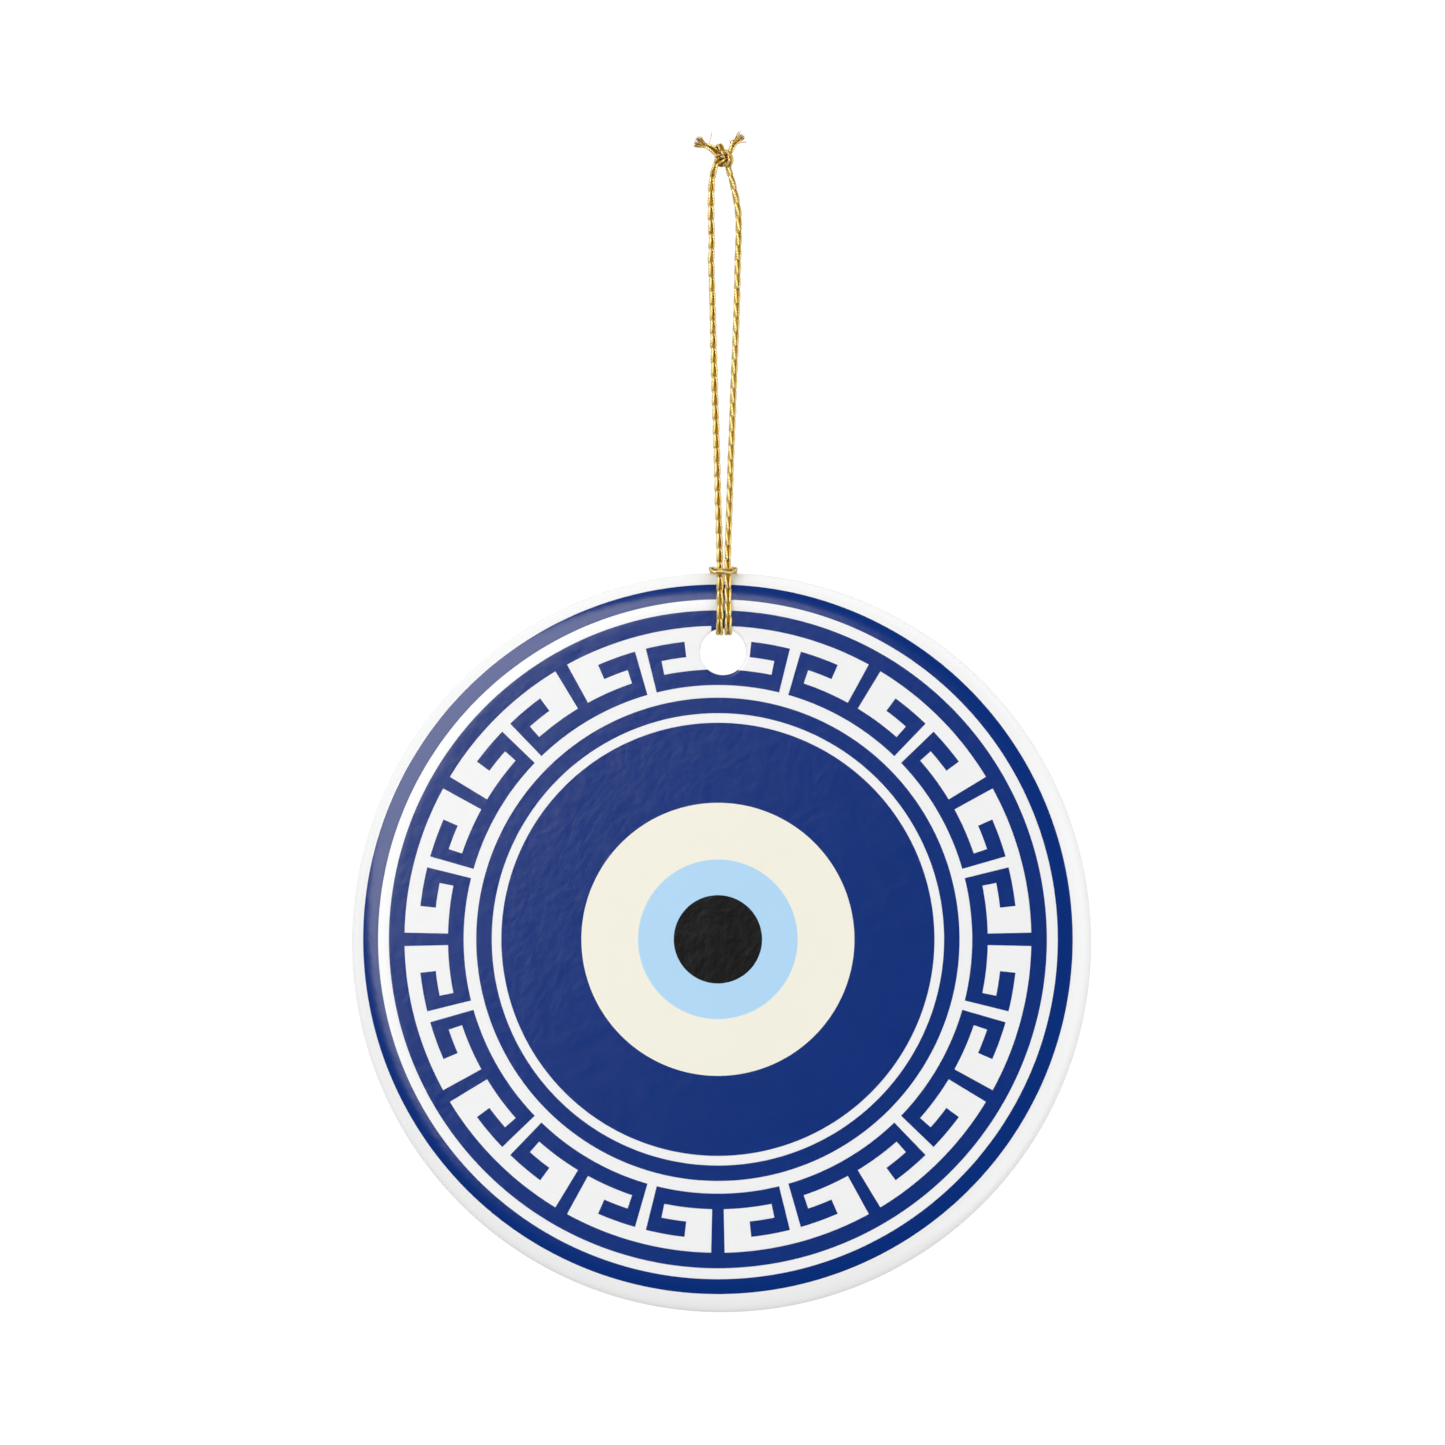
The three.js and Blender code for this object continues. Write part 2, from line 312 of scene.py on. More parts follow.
# ------------------------------------------------------------ the knitted yarn
# One stitch: (along in pitches, across, towards the face). The yarn runs up the
# back, comes through the loop before, makes its own loop and goes back down.
STITCH = [
    (-0.45, 0.00, -0.190), (-0.14, -0.03, -0.170), (0.03, -0.080, -0.040), (0.19, -0.115, 0.085), (0.52, -0.160, 0.100),
    (0.85, -0.185, 0.040), (1.08, -0.150, -0.015), (1.22, 0.000, -0.030), (1.08, 0.150, -0.015), (0.85, 0.185, 0.040),
    (0.52, 0.160, 0.100), (0.19, 0.115, 0.085), (0.03, 0.080, -0.040), (0.17, 0.03, -0.175),
]
STITCHES = int(round(CORD_LENGTH / PITCH))
P = CORD_LENGTH / STITCHES
rng = np.random.RandomState(11)
control = []
for i in range(STITCHES):
    jitter = rng.uniform(-1, 1, (len(STITCH), 3)) * np.array([0.022, 0.010, 0.010])
    for (t, u, v), j in zip(STITCH, jitter):
        control.append(((i + t + j[0]) * P, u + j[1], v + j[2]))
control = np.array(control)
PER = 7
local = spline(control, PER)
local[:, 0] = np.clip(local[:, 0], 0.02, CORD_LENGTH - 0.02)
yarn = on_core(local[:, 0], local[:, 1], local[:, 2])
YARN_R = 0.147


yarn_fine = resample(yarn, 0.058)
yarn_s = arclength(yarn_fine)
yarn_full_s = arclength(yarn)
SIDES = 12
yt, yn = transport(yarn_fine, (0.31, 0.52, 0.79))
yb = np.cross(yt, yn)
rings = []
for j in range(SIDES):
    a = 2 * math.pi * j / SIDES + 2 * math.pi * yarn_s / 0.95
    k = YARN_R * (0.76 if j % 3 == 0 else 1.0)
    rings.append(yarn_fine + yn * (k * np.cos(a))[:, None] + yb * (k * np.sin(a))[:, None])
yarn_rings = np.stack(rings, 1)


def cut(i):
    """Ring index where stitch i of the yarn starts, on the back of the cord."""
    s = yarn_full_s[min(i * len(STITCH) * PER, len(yarn_full_s) - 1)]
    return int(np.searchsorted(yarn_s, s))


centre_tree = KDTree(len(CORE))
for i, p in enumerate(CORE):
    centre_tree.insert(p, i)
centre_tree.balance()


def shade(ob, values):
    """Per-point number the gold material reads as painted shade: 0 deep inside the cord or close to a crossing strand,
    painted dark, 1 on its outside, plain gold.
    """
    ob.data.attributes.new("depth", "FLOAT", "POINT").data.foreach_set("value", np.asarray(values, np.float32))
    return ob


def inner_yarn(s0, s1):
    """The straight yarn the stitches are knitted round, as one closed tube."""
    c = np.stack([np.interp(np.linspace(s0, s1, max(3, int((s1 - s0) / 0.14))), CORE_S, a) for a in (
        CORE[:, 0], CORE[:, 1], CORE[:, 2], CORE_U[:, 0], CORE_U[:, 1], CORE_U[:, 2], CORE_V[:, 0], CORE_V[:, 1], CORE_V[:, 2])], 1)
    mid, u, v = c[:, :3], unit(c[:, 3:6]), unit(c[:, 6:])
    k = np.interp(np.linspace(s0, s1, len(c)), [w[0] for w in width_at], [w[1] for w in width_at])[:, None]
    out = [mid + (u * (0.175 * math.cos(a)) + v * (0.150 * math.sin(a) - 0.045)) * k for a in 2 * math.pi * np.arange(8) / 8]
    m = len(c)
    faces = [(i * 8 + j, i * 8 + (j + 1) % 8, i * 8 + 8 + (j + 1) % 8, i * 8 + 8 + j) for i in range(m - 1) for j in range(8)]
    return np.stack(out, 1).reshape(-1, 3), faces + [tuple(range(7, -1, -1)), tuple((m - 1) * 8 + j for j in range(8))]


def yarn_piece(name, i0, i1, extra=(), painted_shade_scale=1.0):
    """The yarn from stitch i0 to stitch i1 as one closed tube, with further closed tubes joined to it."""
    a, b = (0 if i0 <= 0 else cut(i0)), (len(yarn_rings) - 1 if i1 >= STITCHES else cut(i1))
    part = yarn_rings[a:b + 1]
    m = len(part)
    verts = [part.reshape(-1, 3)]
    faces = []
    for i in range(m - 1):
        for j in range(SIDES):
            k = (j + 1) % SIDES
            faces.append((i * SIDES + j, i * SIDES + k, (i + 1) * SIDES + k, (i + 1) * SIDES + j))
    faces.append(tuple(range(SIDES - 1, -1, -1)))
    faces.append(tuple((m - 1) * SIDES + j for j in range(SIDES)))
    count = m * SIDES
    # The inner tube lies near the centreline, so the painted shade below makes it dark.
    inner = inner_yarn(max(0.25, i0 * P), min(CORD_LENGTH - 0.25, i1 * P))
    # Painted shade: a point near the cord's centreline, its own or a crossing strand's, gets a low depth, which the
    # gold material paints dark; a lower scale factor paints it darker.
    depth = [[painted_shade_scale * (centre_tree.find(p)[2] - 0.15) / 0.15 for p in np.vstack([verts[0], inner[0]])]]
    for v, f in [inner] + list(extra):
        verts.append(v)
        faces += [tuple(x + count for x in g) for g in f]
        count += len(v)
        if v is not inner[0]:
            depth.append([0.10 + 0.5 * ((len(depth) * 0.618) % 1.0)] * len(v))
    return shade(mesh_object(name, np.vstack(verts), faces), np.clip(np.concatenate(depth), 0, 1))


def stitch_at(s):
    return int(round(s / P))


def z_at(s):
    return float(np.interp(s, CORE_S, CORE[:, 2]))


def point_at(s):
    return [float(np.interp(s, CORE_S, CORE[:, k])) * MM for k in range(3)]


def cross_level(z, left):
    """Distance along the cord where the left or right strand passes level z."""
    half = (CORE_S < S_BAND) if left else (CORE_S > S_BAND)
    ok = half & (np.abs(CORE[:, 1]) < 0.3) & (CORE[:, 2] < 0.2)
    ok &= (CORE_S > S_IN - 1.0) if left else (CORE_S < S_OUT + 1.0)
    d = np.where(ok, np.abs(CORE[:, 2] - z), 1e9)
    return CORE_S[int(d.argmin())]


# Where the cord is cut: inside the knot, below it, under the crown, above the hitch, on the disc.
cuts_left = [stitch_at(S_IN - 0.9)] + [stitch_at(cross_level(z, True)) for z in (-0.9, -6.0, -36.8, -40.2)]
cuts_right = [stitch_at(S_OUT + 0.9)] + [stitch_at(cross_level(z, False)) for z in (-0.9, -6.0, -36.8, -40.2)]
BEFORE, AFTER = 0.52 * P, 0.30 * P       # how far the loops of a cut reach past it


def levels(c_up, c_down, left):
    """(start z, end z) between two cuts, clear of the loops that cross them."""
    if left:
        return z_at(c_up * P + AFTER), z_at(c_down * P - BEFORE)
    return z_at(c_up * P - BEFORE), z_at(c_down * P + AFTER)


# ---- frayed ends: flat metallic filaments that fan out of each tail
def filament(base, ends, rad, bow, seed):
    r = np.random.RandomState(seed)
    b, e = np.array(base, float), np.array(ends, float)
    side = unit(np.cross(e - b, np.array([0.0, 1.0, 0.0]))) * bow + np.array([0, r.uniform(-0.08, 0.08), 0])
    pts = [b, b + (e - b) * 0.33 + side * 0.7, b + (e - b) * 0.68 + side, e]
    c = resample(spline(pts, 6), 0.07)
    taper = np.interp(np.linspace(0, 1, len(c)), [0, 0.85, 1], [1, 0.92, 0.6])
    t, n = transport(c, unit(np.array([r.uniform(-1, 1), r.uniform(-1, 1), r.uniform(-1, 1)]) + 0.01))
    bb = np.cross(t, n)
    s = arclength(c)
    out = []
    for j in range(8):
        a = 2 * math.pi * j / 8
        tw = r.uniform(0, 1) * 0 + s * 1.3
        u, v = rad * math.cos(a), rad * 0.42 * math.sin(a)
        out.append(c + n * ((u * np.cos(tw) - v * np.sin(tw)) * taper)[:, None] + bb * ((u * np.sin(tw) + v * np.cos(tw)) * taper)[:, None])
    verts = np.stack(out, 1).reshape(-1, 3)
    m = len(c)
    faces = []
    for i in range(m - 1):
        for j in range(8):
            k = (j + 1) % 8
            faces.append((i * 8 + j, i * 8 + k, (i + 1) * 8 + k, (i + 1) * 8 + j))
    faces.append(tuple(range(7, -1, -1)))
    faces.append(tuple((m - 1) * 8 + j for j in range(8)))
    return verts, faces


def fan(centre, back, tips, seed, rad=0.115):
    r = np.random.RandomState(seed)
    out = []
    for k, tip in enumerate(tips):
        base = np.array(centre, float) + r.uniform(-1, 1, 3) * np.array([0.12, 0.14, 0.12])
        root = base + np.array(back, float) * r.uniform(0.2, 0.5)
        out.append(filament(root, tip, rad * r.uniform(0.72, 1.12), r.uniform(-0.07, 0.07), seed * 50 + k))
    return out


left_tips = [(-2.76, -0.10, 1.92), (-2.66, 0.12, 2.02), (-2.74, 0.02, 2.17), (-2.58, -0.20, 2.26), (-2.70, 0.10, 2.36), (-2.66, -0.06, 2.55),
             (-2.45, 0.18, 2.50), (-2.52, -0.15, 2.68), (-2.38, 0.04, 2.82), (-2.22, -0.12, 2.62), (-2.12, 0.08, 2.86), (-2.04, -0.06, 2.74),
             (-2.48, -0.02, 2.38), (-2.30, 0.14, 2.30)]
right_tips = [(1.40, -0.06, 3.12), (1.50, 0.10, 3.28), (1.58, -0.10, 3.02), (1.66, 0.02, 3.30), (1.78, 0.12, 2.98), (1.92, -0.10, 2.98),
              (2.04, 0.02, 2.86), (2.02, -0.16, 2.70), (1.96, 0.14, 2.58), (1.84, -0.04, 2.74), (1.55, 0.05, 2.86)]
fray_left = fan((-1.74, 0, 2.0), (0.85, 0.02, -0.47), left_tips, 3)
fray_right = fan((1.14, 0, 2.44), (-0.44, 0.05, -0.88), right_tips, 5)
fray_right.append(filament((0.86, -0.12, 1.98), (2.22, -0.16, 2.27), 0.075, 0.05, 901))
fray_right.append(filament((0.80, 0.05, 1.80), (0.62, -0.18, 2.42), 0.045, -0.05, 902))
stray = filament((-1.36, -0.10, 1.98), (-1.06, -0.14, 3.24), 0.042, -0.04, 903)

# ---- pieces of the cord
gold_pieces = []


def add_cord(name, i0, i1, extra=(), painted_shade_scale=1.0):
    ob = yarn_piece(name, i0, i1, extra, painted_shade_scale)
    gold_pieces.append(ob)
    return ob


tail_l, tail_r = stitch_at(1.45), stitch_at(CORD_LENGTH - 1.35)
# The knot's pieces get a lower scale factor, so their painted shade is darker.
knot = add_cord("cord_knot_tie_a", tail_l, cuts_left[0], painted_shade_scale=0.72)
knot_b = add_cord("cord_knot_tie_b", cuts_right[0], tail_r, painted_shade_scale=0.72)
frayed_l = add_cord("cord_frayed_end_left", 0, tail_l, fray_left)
frayed_r = add_cord("cord_frayed_end_right", tail_r, STITCHES, fray_right)
stray_ob = mesh_object("cord_stray_filament", *stray)
for ob in (knot, knot_b, frayed_l, frayed_r, stray_ob):
    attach(ob, "knot")
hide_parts("cord_knot")
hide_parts("cord_tail_left")
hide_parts("cord_tail_right")

for side, cuts, left in (("left", cuts_left, True), ("right", cuts_right, False)):
    span = lambda a, b: (cuts[a], cuts[b]) if left else (cuts[b], cuts[a])
    neck = add_cord(f"cord_neck_{side}", *span(0, 1))
    crown = add_cord(f"cord_loop_top_{side}", *span(1, 2))
    strand = add_cord(f"cord_length_{side}", *span(2, 3))
    bend = add_cord(f"cord_at_hitch_{side}", *span(3, 4))
    for ob, a, b, ba, bb in ((neck, 0, 1, "knot", "crown"), (crown, 1, 2, "crown", "strands"),
                             (strand, 2, 3, "strands", "feet"), (bend, 3, 4, "feet", "disc")):
        z0, z1 = levels(cuts[a], cuts[b], left)
        if ob is neck:
            z0 = min(z0, 0.25)
        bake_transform(ob)
    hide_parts(f"cord_crown_{side}")
    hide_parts(f"cord_strand_{side}")
    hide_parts(f"cord_foot_{side}")
    s0, s1 = sorted((cuts[2] * P, cuts[3] * P))
    path = [point_at(s) for s in np.linspace(s0, s1, 36)]
hitch = add_cord("cord_cow_hitch", cuts_left[4], cuts_right[4])
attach(hitch, "disc")
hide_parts("cord_leg_left", "cord_leg_right", "cord_hitch_band")


# ------------------------------------------------------------ surface of the disc
def front_depth(rho):
    """How far the front lies behind its flat plane at radius rho."""
    t = np.clip((np.asarray(rho, float) - FRONT_FLAT) / (DISC_R - FRONT_FLAT), 0, 1)
    return HALF * (1 - np.maximum(1 - t ** RIM_N, 0) ** (1 / RIM_N))


def surf(x, z):
    """y of the front face, its rim and the rounded edge of the hole."""
    y = FACE_Y + front_depth(np.hypot(x - DISC_X, z - DISC_Z))
    d = np.hypot(x - HOLE_X, z - HOLE_Z)
    w = np.clip(HOLE_R + HOLE_E - d, 0, HOLE_E * 0.999)
    return y + HOLE_E - np.sqrt(HOLE_E ** 2 - w ** 2)


def surf_normal(x, z, h=1e-4):
    fx = (surf(x + h, z) - surf(x - h, z)) / (2 * h)
    fz = (surf(x, z + h) - surf(x, z - h)) / (2 * h)
    return unit(np.stack([fx, -np.ones_like(fx), fz], 1))


def shell(name, xz, tris, up=INK_UP, down=INK_DOWN):
    """A thin closed layer of ink over the front: xz points, faces wound to look along -Y."""
    x, z = xz[:, 0], xz[:, 1]
    n = surf_normal(x, z)
    base = np.stack([x, surf(x, z), z], 1)
    top, bottom = base + n * up, base - n * down
    m = len(xz)
    edge = {}
    for f in tris:
        for a, b in zip(f, list(f[1:]) + [f[0]]):
            edge[(a, b)] = True
    rim = [(a, b) for a, b in edge if (b, a) not in edge]
    faces = [tuple(f) for f in tris] + [tuple(v + m for v in reversed(f)) for f in tris]
    faces += [(b, a, a + m, b + m) for a, b in rim]
    verts = np.vstack([top, bottom])
    normals = []
    for k, f in enumerate(faces):
        if k < len(tris):
            normals += [n[v] for v in f]
        elif k < 2 * len(tris):
            normals += [-n[v - m] for v in f]
        else:
            p = verts[list(f)]
            q = unit(np.cross(p[1] - p[0], p[2] - p[1]))
            normals += [q] * 4
    return mesh_object(name, verts, faces, normals)


def facing_front(xz, tris):
    """Winds triangles so that they look along -Y."""
    out = []
    for f in tris:
        a, b, c = xz[f[0]], xz[f[1]], xz[f[2]]
        area = (b[0] - a[0]) * (c[1] - a[1]) - (b[1] - a[1]) * (c[0] - a[0])
        out.append(tuple(f) if area > 0 else tuple(reversed(f)))
    return out


def ring_layer(name, r0, r1, count, steps):
    """Ink between two circles about the print's centre; a full disc if r0 is 0."""
    a = np.linspace(0, 2 * math.pi, count, endpoint=False)
    radii = np.linspace(r0, r1, steps + 1)
    pts, faces = [], []
    if r0 == 0:
        pts.append((PRINT_X, PRINT_Z))
        radii = radii[1:]
    first = len(pts)
    for r in radii:
        pts += [(PRINT_X + r * math.cos(t), PRINT_Z + r * math.sin(t)) for t in a]
    if r0 == 0:
        faces += [(0, first + j, first + (j + 1) % count) for j in range(count)]
    for i in range(len(radii) - 1):
        p, q = first + i * count, first + (i + 1) * count
        for j in range(count):
            k = (j + 1) % count
            faces.append((p + j, q + j, q + k, p + k))
    return shell(name, np.array(pts), faces)


SEAM = 0.0004
prints = {
    "print_pupil": ring_layer("print_pupil", 0, 4.18 - SEAM, 160, 4),
    "print_iris": ring_layer("print_iris", 4.18, 7.54 - SEAM, 240, 3),
    "print_cream": ring_layer("print_cream", 7.54, 12.905 - SEAM, 320, 4),
    "print_field": ring_layer("print_field", 12.905, 20.48, 400, 5),
    "print_ring_inner": ring_layer("print_ring_inner", 21.38, 22.85, 400, 2),
    "print_ring_outer": ring_layer("print_ring_outer", 32.13, 33.55, 480, 10),
}

# ---- the key border and the band outside it: one layer, cut by the hole
KEY_R = [24.04, 25.52, 26.84, 28.31, 29.63, 31.105]
KEY_T = [1.235, 6.40, 11.45, 13.93]
INK_HOLE = 2.22


def is_key(r, deg):
    t = np.abs((deg + 15.0) % 30.0 - 15.0)
    return (
        ((r > KEY_R[4]) & (r < KEY_R[5]))
        | ((r > KEY_R[0]) & (r < KEY_R[1]) & (t < KEY_T[3]))
        | ((r > KEY_R[1]) & (r < KEY_R[4]) & (t < KEY_T[0]))
        | ((r > KEY_R[0]) & (r < KEY_R[3]) & (t > KEY_T[2]) & (t < KEY_T[3]))
        | ((r > KEY_R[2]) & (r < KEY_R[3]) & (t > KEY_T[1]) & (t < KEY_T[3]))
    )


def key_layer(name):
    radii = [24.04, 24.78, 25.52, 26.18, 26.84, 27.575, 28.31, 28.97, 29.63, 30.0, 30.37, 30.74, 31.105]
    half = [0.0, 0.62, 1.235, 2.2, 3.2, 4.3, 5.4, 6.40, 7.4, 8.4, 9.4, 10.4, 11.45, 12.27, 13.1, 13.93, 15.0]
    unit_angles = sorted({-t for t in half} | set(half))[1:]
    degs = [30 * k + t for k in range(12) for t in unit_angles]
    na, nr = len(degs), len(radii)
    pts = [(PRINT_X + r * math.cos(math.radians(a)), PRINT_Z + r * math.sin(math.radians(a))) for r in radii for a in degs]
    cell = np.zeros((nr - 1, na), bool)
    for i in range(nr - 1):
        for j in range(na):
            b = degs[(j + 1) % na] + (360 if j == na - 1 else 0)
            cell[i, j] = is_key(np.array((radii[i] + radii[i + 1]) / 2), np.array((degs[j] + b) / 2))
    used, edges = set(), []
    for i in range(nr - 1):
        for j in range(na):
            if cell[i, j]:
                used |= {(i, j), (i + 1, j), (i, (j + 1) % na), (i + 1, (j + 1) % na)}
    ident = {q: n for n, q in enumerate(sorted(used))}
    coords = [Vector(pts[i * na + j]) for i, j in sorted(used)]
    for i in range(nr):
        for j in range(na):
            inside = cell[i, j] if i < nr - 1 else False
            below = cell[i - 1, j] if i > 0 else False
            if inside != below:
                edges.append((ident[(i, j)], ident[(i, (j + 1) % na)]))
            if i < nr - 1 and cell[i, j] != cell[i, j - 1]:
                edges.append((ident[(i, j)], ident[(i + 1, j)]))
    for d in (INK_HOLE, 2.255, 2.29, 2.33, 2.37, 2.415, 2.46):
        first = len(coords)
        ring = [Vector((HOLE_X + d * math.cos(2 * math.pi * k / 120), HOLE_Z + d * math.sin(2 * math.pi * k / 120))) for k in range(120)]
        coords += ring
        edges += [(first + k, first + (k + 1) % 120) for k in range(120)]
    v, _, f, _, _, _ = delaunay_2d_cdt(coords, edges, [], 0, 1e-7)
    xz = np.array([tuple(p) for p in v], float)
    tris = np.array([t for t in f if len(t) == 3])
    c = xz[tris].mean(1)
    r = np.hypot(c[:, 0] - PRINT_X, c[:, 1] - PRINT_Z)
    a = np.degrees(np.arctan2(c[:, 1] - PRINT_Z, c[:, 0] - PRINT_X)) % 360
    # chords lie a little inside their arcs, so radii are measured at the chord
    d = np.hypot(c[:, 0] - HOLE_X, c[:, 1] - HOLE_Z)
    grow = 1.0 + 0.00006
    keep = is_key(r * grow, a) & (d > INK_HOLE * math.cos(math.pi / 120) - 1e-4)
    tris = facing_front(xz, tris[keep])
    ids = sorted({i for t in tris for i in t})
    back = {i: n for n, i in enumerate(ids)}
    return shell(name, xz[ids], [tuple(back[i] for i in t) for t in tris])


prints["print_key_border"] = key_layer("print_key_border")


# ------------------------------------------------------------ the ceramic disc
def disc_body():
    verts, faces = [], []

    def ring(points):
        first = len(verts)
        verts.extend(points)
        return first

    N, H = 360, 120
    ang = np.linspace(0, 2 * math.pi, N, endpoint=False)
    hang = np.linspace(0, 2 * math.pi, H, endpoint=False)

    def flat(radii_inner, flat_r, back):
        """The flat of one side as triangles between the rim's ring and the hole's ring."""
        coords, edges = [], []
        for r, n in radii_inner + [(flat_r, N)]:
            first = len(coords)
            if r == 0:
                coords.append(Vector((DISC_X, DISC_Z)))
                continue
            for a in np.linspace(0, 2 * math.pi, n, endpoint=False):
                p = Vector((DISC_X + r * math.cos(a), DISC_Z + r * math.sin(a)))
                coords.append(p)
            if r == flat_r:
                edges += [(first + k, first + (k + 1) % n) for k in range(n)]
        first = len(coords)
        d = HOLE_R + HOLE_E
        coords += [Vector((HOLE_X + d * math.cos(a), HOLE_Z + d * math.sin(a))) for a in hang]
        edges += [(first + k, first + (k + 1) % H) for k in range(H)]
        v, _, f, _, _, _ = delaunay_2d_cdt(coords, edges, [], 0, 1e-7)
        xz = np.array([tuple(p) for p in v], float)
        tris = np.array([t for t in f if len(t) == 3])
        c = xz[tris].mean(1)
        keep = (np.hypot(c[:, 0] - HOLE_X, c[:, 1] - HOLE_Z) > d * math.cos(math.pi / H) - 1e-6) & (
            np.hypot(c[:, 0] - DISC_X, c[:, 1] - DISC_Z) < flat_r + 1e-6)
        tris = facing_front(xz, tris[keep])
        rho = np.hypot(xz[:, 0] - DISC_X, xz[:, 1] - DISC_Z)
        y = back_y(rho) if back else np.full(len(xz), FACE_Y)
        first = ring([(p[0], yy, p[1]) for p, yy in zip(xz, y)])
        for t in tris:
            faces.append(tuple(first + i for i in (reversed(t) if back else t)))

    def back_y(rho):
        rho = np.asarray(rho, float)
        t = np.clip((rho - BACK_FLAT) / (DISC_R - BACK_FLAT), 0, 1)
        y = MID_Y + HALF * np.maximum(1 - t ** RIM_N, 0) ** (1 / RIM_N)
        k = np.clip((BACK_FLAT - rho) / (BACK_FLAT - HOLLOW_R), 0, 1)
        return y - HOLLOW * k * k * (3 - 2 * k)

    # front flat and back flat; the back's flat runs to the ring where its rim starts, past the hole
    flat([(0, 1), (7, 36), (14, 72), (20, 120), (25, 180), (28.5, 240)], FRONT_FLAT, False)
    BACK_IN = 31.0
    flat([(0, 1), (7, 36), (14, 72), (20, 120), (24, 180), (26.5, 240), (27.2, 240), (27.9, 240), (28.7, 240), (29.4, 240), (30.2, 300)], BACK_IN, True)

    # the rim: from the front flat round to the back
    profile = []
    for i in range(0, 19):
        a = (math.pi / 2) * (i / 18)
        t, h = math.sin(a) ** (2 / RIM_N), math.cos(a) ** (2 / RIM_N) if i < 18 else 0.0
        profile.append((FRONT_FLAT + (DISC_R - FRONT_FLAT) * t, MID_Y - HALF * h))
    for i in range(17, -1, -1):
        a = (math.pi / 2) * (i / 18)
        t, h = math.sin(a) ** (2 / RIM_N), math.cos(a) ** (2 / RIM_N)
        r = BACK_FLAT + (DISC_R - BACK_FLAT) * t
        if r > BACK_IN + 0.05:
            profile.append((r, MID_Y + HALF * h))
    profile.append((BACK_IN, float(back_y(BACK_IN))))
    starts = []
    for r, y in profile:
        starts.append(ring([(DISC_X + r * math.cos(a), y, DISC_Z + r * math.sin(a)) for a in ang]))
    for p, q in zip(starts[:-1], starts[1:]):
        for j in range(N):
            k = (j + 1) % N
            faces.append((p + j, q + j, q + k, p + k))

    # the hole: rounded front edge, straight wall, rounded back edge that follows the back
    steps = 7
    columns = []
    for i in range(steps + 1):
        a = (math.pi / 2) * i / steps
        columns.append([(HOLE_R + HOLE_E * (1 - math.sin(a)), FACE_Y + HOLE_E * (1 - math.cos(a)), 0)])
    for i in range(steps, -1, -1):
        a = (math.pi / 2) * i / steps
        columns.append([(HOLE_R + HOLE_E * (1 - math.sin(a)), -HOLE_E * (1 - math.cos(a)), 1)])
    starts = []
    d = HOLE_R + HOLE_E
    for ((r, y, from_back),) in columns:
        row = []
        for a in hang:
            c, s = math.cos(a), math.sin(a)
            if from_back:
                rho = math.hypot(HOLE_X + d * c - DISC_X, HOLE_Z + d * s - DISC_Z)
                yy = float(back_y(rho)) + y
            else:
                yy = y
            row.append((HOLE_X + r * c, yy, HOLE_Z + r * s))
        starts.append(ring(row))
    for p, q in zip(starts[:-1], starts[1:]):
        for j in range(H):
            k = (j + 1) % H
            faces.append((p + k, q + k, q + j, p + j))

    ob = mesh_object("disc_body", verts, faces)
    bm = bmesh.new()
    bm.from_mesh(ob.data)
    bmesh.ops.remove_doubles(bm, verts=bm.verts, dist=2e-7)
    bmesh.ops.dissolve_degenerate(bm, edges=bm.edges, dist=1e-8)
    bmesh.ops.recalc_face_normals(bm, faces=bm.faces)
    open_edges = sum(1 for e in bm.edges if len(e.link_faces) != 2)
    print("disc_body: open edges", open_edges, "faces", len(bm.faces))
    bm.to_mesh(ob.data)
    bm.free()
    me = ob.data
    me.polygons.foreach_set("use_smooth", [True] * len(me.polygons))
    # corner normals weighted by face area, so that the flats stay flat
    acc = np.zeros((len(me.vertices), 3))
    for p in me.polygons:
        nn = np.array(p.normal) * p.area
        for v in p.vertices:
            acc[v] += nn
    acc = unit(acc)
    me.normals_split_custom_set([tuple(acc[l.vertex_index]) for l in me.loops])
    return ob


body = disc_body()
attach(body, "disc")
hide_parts("ornament_disc")
for ob in prints.values():
    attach(ob, "disc")


# ------------------------------------------------------------ materials
def srgb(r, g, b):
    f = lambda c: c / 12.92 if c <= 0.04045 else ((c + 0.055) / 1.055) ** 2.4
    return (f(r / 255), f(g / 255), f(b / 255), 1.0)


